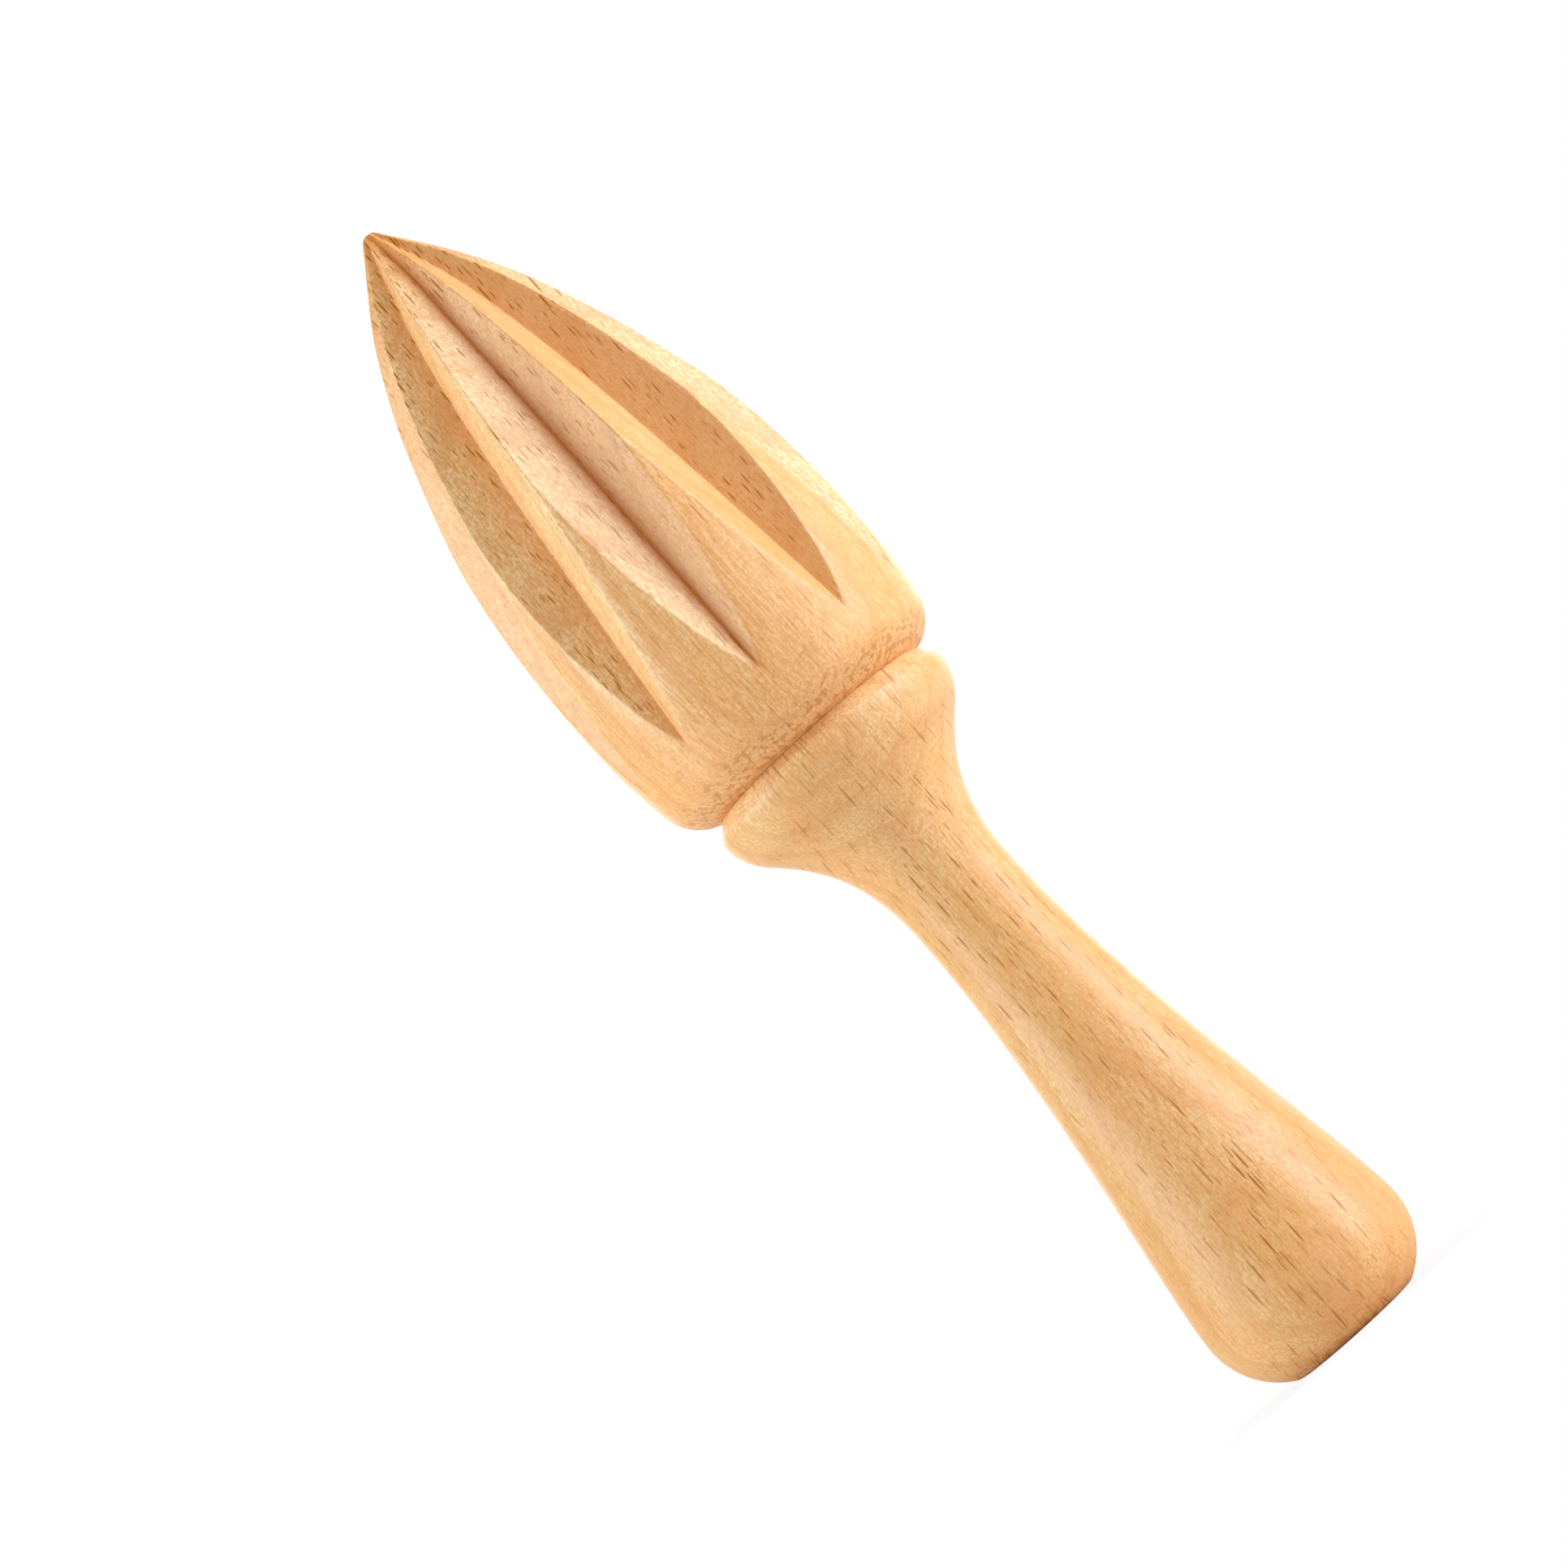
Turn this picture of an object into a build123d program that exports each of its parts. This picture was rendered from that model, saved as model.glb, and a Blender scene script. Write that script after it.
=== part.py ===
"""Wooden citrus reamer: a fluted reaming head whose tenon is glued into a turned handle.

Sizes are in millimetres. The reamer stands on its butt: the origin is the centre of the flat butt face,
and +Z runs up the turning axis to the tip of the head. One flute faces -Y.
"""

import os
from math import cos, radians, sin

from build123d import *

# Handle, from the butt face up to the seam
butt_face_diameter = 15.9
butt_diameter = 26.1
butt_rise = 8.3
grip_length = 54.3
waist_diameter = 13.4
flare_length = 16.4
flare_diameter = 27.2
flare_slope = 45.0
collar_rise = 4.4
collar_diameter = 31.3
collar_crown = 2.5
seam_diameter = 28.4

# Head, from the seam up to the tip
shoulder_rise = 4.6
shoulder_diameter = 36.7
shoulder_slope = 8.4
barrel_length = 12.1
head_diameter = 38.4
nose_length = 56.9
nose_slope = 40.7
tip_diameter = 2.46
tip_height = 0.5

# Flutes, cut by a V tool whose path sinks into the nose and leaves it at the tip
flute_count = 10
flute_angle = 118.0
flute_start_rise = 2.0
flute_start_inset = 0.25
flute_start_slope = 9.0
flute_end_diameter = 1.15
flute_end_slope = 28.4
first_flute_direction = -90.0

# Glued joint between the two
tenon_diameter = 11.0
tenon_length = 15.0
tenon_chamfer = 0.6
glue_clearance = 0.1
glue_well = 1.0

# How far a cutter runs past the wood
overrun = 1.0

# How far each curve keeps its first and its last direction, as a share of the height it climbs
grip_arm_shares = (0.115, 0.370)
flare_arm_shares = (0.562, 0.283)
collar_arm_shares = (0.588, 0.165)
barrel_arm_shares = (0.50, 0.40)
nose_arm_shares = (0.258, 0.413)
flute_arm_shares = (0.80, 0.184)

# Where the two curves that close on the seam are drawn to: shares of their width, then of their height
crown_width_share = 0.573
crown_height_shares = (0.335, 0.436)
shoulder_width_share = 0.586
shoulder_height_share = 0.098
shoulder_arm_share = 0.42

butt_face_radius = butt_face_diameter / 2
butt_radius = butt_diameter / 2
waist_radius = waist_diameter / 2
flare_radius = flare_diameter / 2
collar_radius = collar_diameter / 2
seam_radius = seam_diameter / 2
shoulder_radius = shoulder_diameter / 2
head_radius = head_diameter / 2
tip_radius = tip_diameter / 2
tenon_radius = tenon_diameter / 2
flute_end_radius = flute_end_diameter / 2

waist_height = butt_rise + grip_length
flare_height = waist_height + flare_length
collar_height = flare_height + collar_rise
seam_height = collar_height + collar_crown
shoulder_height = seam_height + shoulder_rise
head_height = shoulder_height + barrel_length
nose_height = head_height + nose_length
overall_length = nose_height + tip_height
flute_start_height = shoulder_height + flute_start_rise


def sloped_from(point, reach, slope):
    """The point reached from another one by going up and outwards, at a slope in degrees from upright."""
    return (point[0] + reach * sin(radians(slope)), point[1] + reach * cos(radians(slope)))


def curve_between(low, high, low_slope, high_slope, arm_shares):
    """The four control points of a curve from low to high that leaves and arrives at the given slopes."""
    climb = high[1] - low[1]
    return (
        low,
        sloped_from(low, arm_shares[0] * climb, low_slope),
        sloped_from(high, -arm_shares[1] * climb, high_slope),
        high,
    )


butt_edge = (butt_face_radius, 0)
butt_ring = (butt_radius, butt_rise)
waist_ring = (waist_radius, waist_height)
flare_ring = (flare_radius, flare_height)
collar_ring = (collar_radius, collar_height)
seam_edge = (seam_radius, seam_height)
shoulder_ring = (shoulder_radius, shoulder_height)
head_ring = (head_radius, head_height)
nose_ring = (tip_radius, nose_height)
tip = (0, overall_length)

# Handle: flat butt, long waisted grip, flare, and a rounded collar that stops at the seam
with BuildPart() as handle:
    with BuildSketch(Plane.XZ):
        with BuildLine():
            Line((0, 0), butt_edge)
            TangentArc(butt_ring, butt_edge, tangent=(0, -1))
            Bezier(*curve_between(butt_ring, waist_ring, 0, 0, grip_arm_shares))
            Bezier(*curve_between(waist_ring, flare_ring, 0, flare_slope, flare_arm_shares))
            Bezier(*curve_between(flare_ring, collar_ring, flare_slope, 0, collar_arm_shares))
            Bezier(
                collar_ring,
                (collar_radius, collar_height + crown_height_shares[0] * collar_crown),
                (
                    seam_radius + crown_width_share * (collar_radius - seam_radius),
                    seam_height - crown_height_shares[1] * collar_crown,
                ),
                seam_edge,
            )
            Polyline(seam_edge, (0, seam_height), (0, 0))
        make_face()
    revolve(axis=Axis.Z)
    with Locations((0, 0, seam_height)):
        Hole(radius=tenon_radius + glue_clearance, depth=tenon_length + glue_well)

# The wood that one flute takes away: a side view of the cut, drawn out along both walls of the V
with BuildPart() as flute:
    with BuildSketch(Plane.XZ) as flute_side:
        with BuildLine():
            flute_start = (head_radius - flute_start_inset, flute_start_height)
            flute_end = (flute_end_radius, overall_length)
            Bezier(
                *curve_between(flute_start, flute_end, -flute_start_slope, -flute_end_slope, flute_arm_shares)
            )
            Polyline(
                flute_end,
                (flute_end_radius, overall_length + overrun),
                (head_radius + overrun, overall_length + overrun),
                (head_radius + overrun, flute_start_height),
                flute_start,
            )
        make_face()
    for side in (1, -1):
        wall = (cos(radians(flute_angle / 2)), side * sin(radians(flute_angle / 2)), 0)
        extrude(flute_side.sketch, amount=head_radius, dir=wall)

# Reaming head: tenon, rounded shoulder, slightly swelling barrel and long nose, with flutes all round
with BuildPart() as reaming_head:
    with BuildSketch(Plane.XZ):
        with BuildLine():
            Polyline(
                tip,
                (0, seam_height - tenon_length),
                (tenon_radius - tenon_chamfer, seam_height - tenon_length),
                (tenon_radius, seam_height - tenon_length + tenon_chamfer),
                (tenon_radius, seam_height),
                seam_edge,
            )
            Bezier(
                seam_edge,
                (
                    seam_radius + shoulder_width_share * (shoulder_radius - seam_radius),
                    seam_height + shoulder_height_share * shoulder_rise,
                ),
                sloped_from(shoulder_ring, -shoulder_arm_share * shoulder_rise, shoulder_slope),
                shoulder_ring,
            )
            Bezier(*curve_between(shoulder_ring, head_ring, shoulder_slope, 0, barrel_arm_shares))
            Bezier(*curve_between(head_ring, nose_ring, 0, -nose_slope, nose_arm_shares))
            TangentArc(tip, nose_ring, tangent=(1, 0))
        make_face()
    revolve(axis=Axis.Z)
    with PolarLocations(0, flute_count, start_angle=first_flute_direction):
        add(flute.part, mode=Mode.SUBTRACT)

os.makedirs("parts", exist_ok=True)
handle.part.label = "handle"
export_step(handle.part, "parts/handle.step")
reaming_head.part.label = "reaming_head"
export_step(reaming_head.part, "parts/reaming_head.step")
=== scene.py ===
"""Looks of the wooden citrus reamer: a fluted reaming head glued into a turned handle, both of oiled beech.

Lengths are in metres. The reamer stands on its butt at the origin, +Z runs up the turning axis, and one
flute faces -Y. A side view holds radii and heights.
"""

import logging
from collections.abc import Sequence
from dataclasses import dataclass
from enum import Enum
from math import atan2, cos, hypot, pi, radians, sin, tan

import bpy
import numpy as np
from mathutils import Matrix, Vector


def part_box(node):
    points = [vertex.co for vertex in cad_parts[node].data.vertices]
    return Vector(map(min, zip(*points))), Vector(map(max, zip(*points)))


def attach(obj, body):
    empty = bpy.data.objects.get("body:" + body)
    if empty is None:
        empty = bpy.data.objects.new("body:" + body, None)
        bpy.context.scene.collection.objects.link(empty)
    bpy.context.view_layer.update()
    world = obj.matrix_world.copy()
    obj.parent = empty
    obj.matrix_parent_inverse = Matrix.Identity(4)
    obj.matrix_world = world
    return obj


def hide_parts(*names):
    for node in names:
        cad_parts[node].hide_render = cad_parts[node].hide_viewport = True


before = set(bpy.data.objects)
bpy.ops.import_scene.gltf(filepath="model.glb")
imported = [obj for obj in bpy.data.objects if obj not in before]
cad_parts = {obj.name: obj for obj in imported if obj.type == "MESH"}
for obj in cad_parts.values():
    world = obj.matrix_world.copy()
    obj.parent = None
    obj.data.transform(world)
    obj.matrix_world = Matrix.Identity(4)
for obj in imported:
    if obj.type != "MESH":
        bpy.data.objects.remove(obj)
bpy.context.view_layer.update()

Point = tuple[float, float]
Pair = tuple[float, float]
Size = tuple[float, float, float]
Colour = tuple[float, float, float]
Socket = bpy.types.NodeSocket

MM = 0.001
TINY = 1e-9
LEAST_DIVISOR = 0.05
FAR_OUT = 1.0
NOISE_REACH: Pair = (0.3, 0.7)
WHITE: Colour = (1.0, 1.0, 1.0)
SEAM_RADIUS = 14.2 * MM
SEAM_EASE = 0.12 * MM
GLUE_ROOM = 1 * MM
log = logging.getLogger("citrus_reamer")


class Slot(Enum):
    """Material slots of the record."""

    HEAD = "head_beech"
    HANDLE = "handle_beech"


class Mark(Enum):
    """What the head's points say to its finish."""

    HOLLOW = "hollow"
    CUT = "cut"
    FRESH_CUT = "fresh_cut"


def sloped_from(point: Point, reach: float, slope: float) -> Point:
    """Go up and outwards from a point of a side view.

    Args:
        point: Radius and height to start from.
        reach: How far to go; a negative reach goes back down.
        slope: Angle from upright, in degrees.

    Returns:
        Radius and height of the point reached.
    """
    return (point[0] + reach * sin(radians(slope)), point[1] + reach * cos(radians(slope)))


def curve_between(low: Point, high: Point, slopes: Pair, arm_shares: Pair) -> list[Point]:
    """Draw a curve that leaves one point and arrives at another at given slopes.

    Args:
        low: Radius and height of the lower end.
        high: Radius and height of the upper end.
        slopes: Angles from upright at the lower and upper end, in degrees.
        arm_shares: How far the curve keeps each direction, as shares of the height it climbs.

    Returns:
        The curve's control points after the first one.
    """
    climb = high[1] - low[1]
    return [
        sloped_from(low, arm_shares[0] * climb, slopes[0]),
        sloped_from(high, -arm_shares[1] * climb, slopes[1]),
        high,
    ]


class Outline:
    """Side view of a turned piece, from the foot of its axis to the top of it."""

    def __init__(self, start: Point) -> None:
        """Start at a radius and height."""
        self.points: list[Point] = [start]

    def line(self, end: Point, steps: int) -> None:
        """Go straight to the end, in equal steps."""
        self.curve([end], steps)

    def curve(self, controls: Sequence[Point], steps: int) -> None:
        """Go on along a Bezier curve.

        Args:
            controls: Control points after the point that the outline has reached.
            steps: How many points to add.
        """
        layer = [np.array(point) for point in (self.points[-1], *controls)]
        for share in np.linspace(0, 1, steps + 1)[1:]:
            level = layer
            while len(level) > 1:
                level = [low + (high - low) * share for low, high in zip(level, level[1:])]
            self.points.append(tuple(level[0]))

    def arc(self, centre: Point, end: Point, steps: int) -> None:
        """Go on along a round arc.

        Args:
            centre: Radius and height of the arc's centre.
            end: Where the arc stops.
            steps: How many points to add.
        """
        start = self.points[-1]
        reach = hypot(end[0] - centre[0], end[1] - centre[1])
        first = atan2(start[1] - centre[1], start[0] - centre[0])
        last = atan2(end[1] - centre[1], end[0] - centre[0])
        for turn in np.linspace(first, last, steps + 1)[1:]:
            self.points.append((centre[0] + reach * cos(turn), centre[1] + reach * sin(turn)))

    def rows(self) -> np.ndarray:
        """Radii and heights of the rings between the two ends on the axis."""
        return np.array(self.points[1:-1])

    def ends(self) -> Pair:
        """Heights of the two ends on the axis."""
        return self.points[0][1], self.points[-1][1]


def skin(name: str, rings: np.ndarray, ends: Pair) -> bpy.types.Object:
    """Close a stack of rings into one watertight mesh.

    Args:
        name: Name of the piece.
        rings: Places of the points, by ring from the foot up and then round each ring.
        ends: Heights of the two points that close the stack on the axis.

    Returns:
        The piece, linked to the scene and shaded smooth.
    """
    ring_count, column_count = rings.shape[:2]
    foot, top = ((0.0, 0.0, height) for height in ends)
    points = [*rings.reshape(-1, 3).tolist(), foot, top]
    column = np.arange(column_count)
    after = np.roll(column, -1)
    ring = np.arange(ring_count - 1)[:, None] * column_count
    sides = np.stack(
        [ring + column, ring + after, ring + after + column_count, ring + column + column_count], axis=-1
    )
    last = (ring_count - 1) * column_count
    faces = sides.reshape(-1, 4).tolist()
    faces += [[len(points) - 2, int(b), int(a)] for a, b in zip(column, after)]
    faces += [[len(points) - 1, int(a) + last, int(b) + last] for a, b in zip(column, after)]
    mesh = bpy.data.meshes.new(name)
    mesh.from_pydata(points, [], faces)
    mesh.validate()
    mesh.shade_smooth()
    piece = bpy.data.objects.new(name, mesh)
    bpy.context.scene.collection.objects.link(piece)
    return piece


def ring_places(radius: np.ndarray, turn: np.ndarray, height: np.ndarray) -> np.ndarray:
    """Places of points round the axis, by ring and column.

    Args:
        radius: How far each point lies from the axis.
        turn: In which direction it lies.
        height: Heights of the rings, in one column.

    Returns:
        The three coordinates of each point, along the last axis.
    """
    places = [radius * np.cos(turn), radius * np.sin(turn)]
    return np.stack([*places, np.broadcast_to(height, places[0].shape)], axis=-1)


def soft_least(one: np.ndarray, other: np.ndarray, blend: float) -> np.ndarray:
    """Take the smaller of two depths, rounded over where they meet.

    Args:
        one: First depths.
        other: Second depths.
        blend: Difference below which the corner is rounded; a negative one takes the larger instead.

    Returns:
        The rounded smaller or larger depths.
    """
    near = np.clip(1 - np.abs(one - other) / abs(blend), 0, 1)
    pick = np.minimum if blend > 0 else np.maximum
    return pick(one, other) - near**2 * blend / 4


class NodeBench:
    """Puts down and wires the shader nodes of one material or world."""

    def __init__(self, tree: bpy.types.NodeTree) -> None:
        """Clear the tree and keep it."""
        self.tree = tree
        tree.nodes.clear()

    def add(self, kind: str, inputs: dict | None = None, **settings: object) -> bpy.types.Node:
        """Add a node.

        Args:
            kind: The node's type, without its ShaderNode prefix.
            inputs: What goes into each named or numbered input: an output socket or a value.
            settings: The node's own settings.

        Returns:
            The new node.
        """
        node = self.tree.nodes.new("ShaderNode" + kind)
        for name, value in settings.items():
            setattr(node, name, value)
        for key, value in (inputs or {}).items():
            if isinstance(value, Socket):
                self.tree.links.new(value, node.inputs[key])
            else:
                node.inputs[key].default_value = value
        return node

    def math(self, operation: str, *values: float | Socket) -> Socket:
        """Result of an arithmetic node on values or sockets."""
        return self.add("Math", dict(enumerate(values)), operation=operation).outputs[0]

    def scaled(self, share: Socket, low: float, high: float) -> Socket:
        """Value that runs from low to high as the share runs from 0 to 1."""
        return self.math("MULTIPLY_ADD", share, high - low, low)

    def stretch(self, vector: Socket, scale: Sequence[float]) -> Socket:
        """Coordinates multiplied by a scale for each axis."""
        return self.add("VectorMath", {0: vector, 1: scale}, operation="MULTIPLY").outputs[0]

    def length(self, vector: Socket) -> Socket:
        """Length of a vector."""
        return self.add("VectorMath", {0: vector}, operation="LENGTH").outputs["Value"]

    def part_of(self, vector: Socket, axis: str) -> Socket:
        """One coordinate of a vector."""
        return self.add("SeparateXYZ", {0: vector}).outputs[axis]

    def mark(self, mark: Mark) -> Socket:
        """A mark of the mesh's points."""
        return self.add("Attribute", attribute_name=mark.value).outputs["Fac"]

    @staticmethod
    def scale(size: Size) -> Size:
        """Scale that makes features of this size one unit across."""
        return tuple(1 / length for length in size)

    def grain(self, vector: Socket, size: Size, detail: float) -> Socket:
        """Soft noise with features of about this size."""
        places = self.stretch(vector, self.scale(size))
        return self.add("TexNoise", {"Vector": places, "Scale": 1.0, "Detail": detail}).outputs[0]

    def spread(self, noise: Socket, low: float, high: float) -> Socket:
        """Noise spread over a range, with its usual least and most at the two limits."""
        limits = zip(("From Min", "From Max", "To Min", "To Max"), (*NOISE_REACH, low, high))
        return self.add("MapRange", {"Value": noise, **dict(limits)}).outputs[0]

    def ease(self, value: Socket, low: float, high: float) -> Socket:
        """Step smoothly from one level to another.

        Args:
            value: What is held against the levels.
            low: Level up to which the step is 0.
            high: Level from which it is 1. Where it is the smaller one, the step falls.

        Returns:
            The step.
        """
        if low > high:
            return self.math("SUBTRACT", 1.0, self.ease(value, high, low))
        limits = {"Value": value, "From Min": low, "From Max": high}
        return self.add("MapRange", limits, interpolation_type="SMOOTHSTEP").outputs[0]

    def blend(self, share: float | Socket, below: Colour | Socket, above: Colour | Socket) -> Socket:
        """Lay one colour over another.

        Args:
            share: How much of the upper colour shows.
            below: The colour underneath.
            above: The colour on top.

        Returns:
            The mixed colour.
        """
        inputs = {0: share, 6: opaque(below), 7: opaque(above)}
        return self.add("Mix", inputs, data_type="RGBA").outputs[2]


def opaque(colour: Colour | Socket) -> tuple[float, ...] | Socket:
    """A colour with full alpha where it is a value, or the socket unchanged."""
    return colour if isinstance(colour, Socket) else (*colour, 1.0)


@dataclass(frozen=True)
class ToneLayer:
    """A tone in the wood, and how much of the wood it hides where it is fullest.

    A tone that shows where its share is below 0 has a negative cover. Some tones are painted light and
    painted shade, not the wood's own colour.
    """

    colour: Colour
    cover: float


@dataclass(frozen=True)
class Mottle:
    """Soft noise in the wood: the size of its features, and the levels where they begin and are full."""

    size: Size
    limits: Pair
    detail: float = 2.0

    def noise(self, bench: NodeBench, wood: Socket) -> Socket:
        """The bare noise."""
        return bench.grain(wood, self.size, self.detail)

    def eased(self, bench: NodeBench, noise: Socket) -> Socket:
        """The noise's features, from 0 where they begin to 1 where they are full."""
        return bench.ease(noise, *self.limits)

    def marks(self, bench: NodeBench, wood: Socket) -> Socket:
        """The same features, where nothing else needs the bare noise."""
        return self.eased(bench, self.noise(bench, wood))


@dataclass(frozen=True)
class Dashes:
    """Rays of the wood: flat spindles that show end on as short dark dashes, and side on as flecks."""

    size: Size
    spread: Size
    strength: float
    growth: Pair = (0.5, 1.25)
    edge: Pair = (1.0, 0.45)
    luck_limits: Pair = (0.0, 0.9)

    def shade(self, bench: NodeBench, wood: Socket) -> Socket:
        """Find how strongly a ray darkens the wood.

        Args:
            bench: Where the nodes go.
            wood: Coordinates in the wood.

        Returns:
            Up to the strength in the middle of a ray, 0 outside. Rays differ in size and darkness.
        """
        shares = [spacing / length for spacing, length in zip(self.spread, self.size)]
        cells = bench.stretch(wood, bench.scale(self.spread))
        found = bench.add("TexVoronoi", {"Vector": cells, "Scale": 1.0})
        luck = bench.add("SeparateColor", {0: found.outputs["Color"]})
        off = bench.add("VectorMath", {0: cells, 1: found.outputs["Position"]}, operation="SUBTRACT")
        reach = bench.length(bench.stretch(off.outputs[0], shares))
        growth = bench.scaled(luck.outputs["Green"], *self.growth)
        dash = bench.ease(bench.math("DIVIDE", reach, growth), *self.edge)
        darkness = bench.math("MULTIPLY", bench.ease(luck.outputs["Red"], *self.luck_limits), self.strength)
        return bench.math("MULTIPLY", dash, darkness)


@dataclass(frozen=True)
class OiledBeech:
    """Fine-sanded beech with a wipe of oil: rings, fibres, pores and the dark dashes of its rays.

    Some of its tones are painted light and painted shade: in the groove, along the flute valleys, on the
    front flutes' walls and on the undersides. Reaches, slopes and limits run from where an effect begins
    to where it is full, the other pairs from least to most.
    """

    slot: Slot
    pale: Colour
    honey: Colour
    # Painted light: paler wood close round the groove between head and handle, lifting the groove's shade.
    painted_groove_light: ToneLayer = ToneLayer((0.97, 0.72, 0.36), 0.88)
    # Pale and dark wall tones: cut and burnished wood on the hidden flutes, painted light and painted shade
    # on the front ones.
    fresh: ToneLayer = ToneLayer((0.97, 0.78, 0.40), 0.88)
    burnished_and_painted_shade: ToneLayer = ToneLayer((0.67, 0.345, 0.12), -0.55)
    blush: ToneLayer = ToneLayer((0.88, 0.44, 0.19), 0.34)
    # End grain darkened by oil, with painted shade: strongest on the undersides, faint on slopes that face
    # up.
    end_grain_and_underside_shade: ToneLayer = ToneLayer((0.78, 0.37, 0.12), 0.48)
    late_wood: ToneLayer = ToneLayer((0.70, 0.31, 0.09), 0.34)
    shaded_fibre: ToneLayer = ToneLayer((0.75, 0.33, 0.075), 0.48)
    shaded_speck: ToneLayer = ToneLayer((0.75, 0.33, 0.075), 0.40)
    streak: ToneLayer = ToneLayer((0.52, 0.235, 0.03), 0.34)
    pore: ToneLayer = ToneLayer((0.52, 0.235, 0.03), 0.40)
    torn: ToneLayer = ToneLayer((0.62, 0.25, 0.045), 0.80)
    # Colour of the painted shade along the bottom of the flutes.
    painted_crease_shade: ToneLayer = ToneLayer((0.66, 0.225, 0.018), 0.86)
    glue_line: ToneLayer = ToneLayer((0.52, 0.235, 0.03), 0.32)
    ray: ToneLayer = ToneLayer((0.44, 0.15, 0.004), 1.0)
    gain: float = 1.07

    tone_mottle: Mottle = Mottle((9 * MM, 9 * MM, 34 * MM), (0.32, 0.68))
    blush_mottle: Mottle = Mottle((3.4 * MM, 3.4 * MM, 15 * MM), (0.42, 0.70))
    fibre_mottle: Mottle = Mottle((0.22 * MM, 0.22 * MM, 5 * MM), (0.60, 0.38), detail=3.0)
    speck_mottle: Mottle = Mottle((0.42 * MM, 0.42 * MM, 0.42 * MM), (0.58, 0.38))
    tear_mottle: Mottle = Mottle((0.85 * MM, 0.85 * MM, 0.55 * MM), (0.50, 0.60))
    pore_mottle: Mottle = Mottle((0.10 * MM, 0.10 * MM, 0.8 * MM), (0.58, 0.74), detail=1.0)
    streak_mottle: Mottle = Mottle((0.20 * MM, 0.20 * MM, 17 * MM), (0.56, 0.72), detail=1.0)
    glue_mottle: Mottle = Mottle((5 * MM, 5 * MM, 5 * MM), (0.44, 0.58), detail=1.0)
    seed_shift: float = 0.0

    heart: Point = (9 * MM, 70 * MM)
    ring_width: float = 3.1 * MM
    ring_wander: float = 0.8
    late_limits: Pair = (0.62, 0.95)
    ring_end_limits: Pair = (1.0, 0.97)

    bold_rays: Dashes = Dashes((0.14 * MM, 4.5 * MM, 1.6 * MM), (0.48 * MM, 16 * MM, 4.2 * MM), 0.95)
    faint_rays: Dashes = Dashes((0.09 * MM, 3.0 * MM, 0.8 * MM), (0.36 * MM, 12 * MM, 2.4 * MM), 0.70)
    cluster_size: Size = (1.1 * MM, 9 * MM, 11 * MM)
    cluster_shares: Pair = (0.35, 1.1)
    sanded_limits: Pair = (1.0, 0.5)
    sanded_least: float = 0.25
    open_limits: Pair = (0.75, 0.3)
    open_most: float = 2.6
    core_reach: Pair = (17 * MM, 8 * MM)
    core_shares: Pair = (0.55, 1.30)

    end_slopes: Pair = (0.58, 0.92)
    border_wander: float = 0.5
    border_fray: float = 0.35
    level_reach: float = 0.1
    upper_least: float = 0.15

    seam_height: float = 0.0
    seam_lift: float = 0.22 * MM
    painted_groove_light_reach: Pair = (3.2 * MM, 0.8 * MM)
    glue_heights: Pair = (0.064 * MM, 0.576 * MM)
    glue_limits: Pair = (1.0, 0.2)

    roughness: Pair = (0.36, 0.52)
    dry_roughness: float = 0.12
    refraction: float = 1.5
    relief: float = 0.02 * MM
    relief_strength: float = 0.42
    fibre_relief: float = 0.8

    def material(self) -> bpy.types.Material:
        """Build the finish.

        Returns:
            The material, in coordinates of the piece, so that end grain, rings and rays agree on all sides.
        """
        made = bpy.data.materials.new(self.slot.value)
        made.use_nodes = True
        bench = NodeBench(made.node_tree)
        places = bench.add("TexCoord")
        place, normal = places.outputs["Object"], places.outputs["Normal"]
        wood = bench.add("VectorMath", {0: place, 1: (0, 0, self.seed_shift)}, operation="ADD").outputs[0]

        blush = self.blush_mottle.noise(bench, wood)
        fibre = self.fibre_mottle.noise(bench, wood)
        speck = self.speck_mottle.noise(bench, wood)
        pores = self.pore_mottle.marks(bench, wood)
        end = self.end_wood_and_underside_shade(bench, normal, blush, speck)
        # Torn specks follow the same mask, painted underside shade included.
        torn = bench.math("MULTIPLY", self.tear_mottle.marks(bench, wood), end)
        gap = self.seam_gap(bench, place)
        fresh_cut = bench.mark(Mark.FRESH_CUT)

        colour = bench.blend(self.tone_mottle.marks(bench, wood), self.pale, self.honey)
        for share, stain in (
            # Painted light near the groove.
            (bench.ease(gap, *self.painted_groove_light_reach), self.painted_groove_light),
            # Wall tones, which are painted light and painted shade on the front flutes.
            (fresh_cut, self.fresh),
            (fresh_cut, self.burnished_and_painted_shade),
            (self.blush_mottle.eased(bench, blush), self.blush),
            (end, self.end_grain_and_underside_shade),
            (self.late_band(bench, wood), self.late_wood),
            (self.fibre_mottle.eased(bench, fibre), self.shaded_fibre),
            (self.speck_mottle.eased(bench, speck), self.shaded_speck),
            (self.streak_mottle.marks(bench, wood), self.streak),
            (pores, self.pore),
            (torn, self.torn),
            # Painted shade along the bottom of the flutes.
            (bench.mark(Mark.HOLLOW), self.painted_crease_shade),
            (self.glue_dirt(bench, place, gap, fibre), self.glue_line),
            (self.rays(bench, place, normal, wood), self.ray),
        ):
            colour = bench.blend(bench.math("MULTIPLY", share, stain.cover), colour, stain.colour)
        colour = bench.add("VectorMath", {0: colour, "Scale": self.gain}, operation="SCALE").outputs[0]

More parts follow.
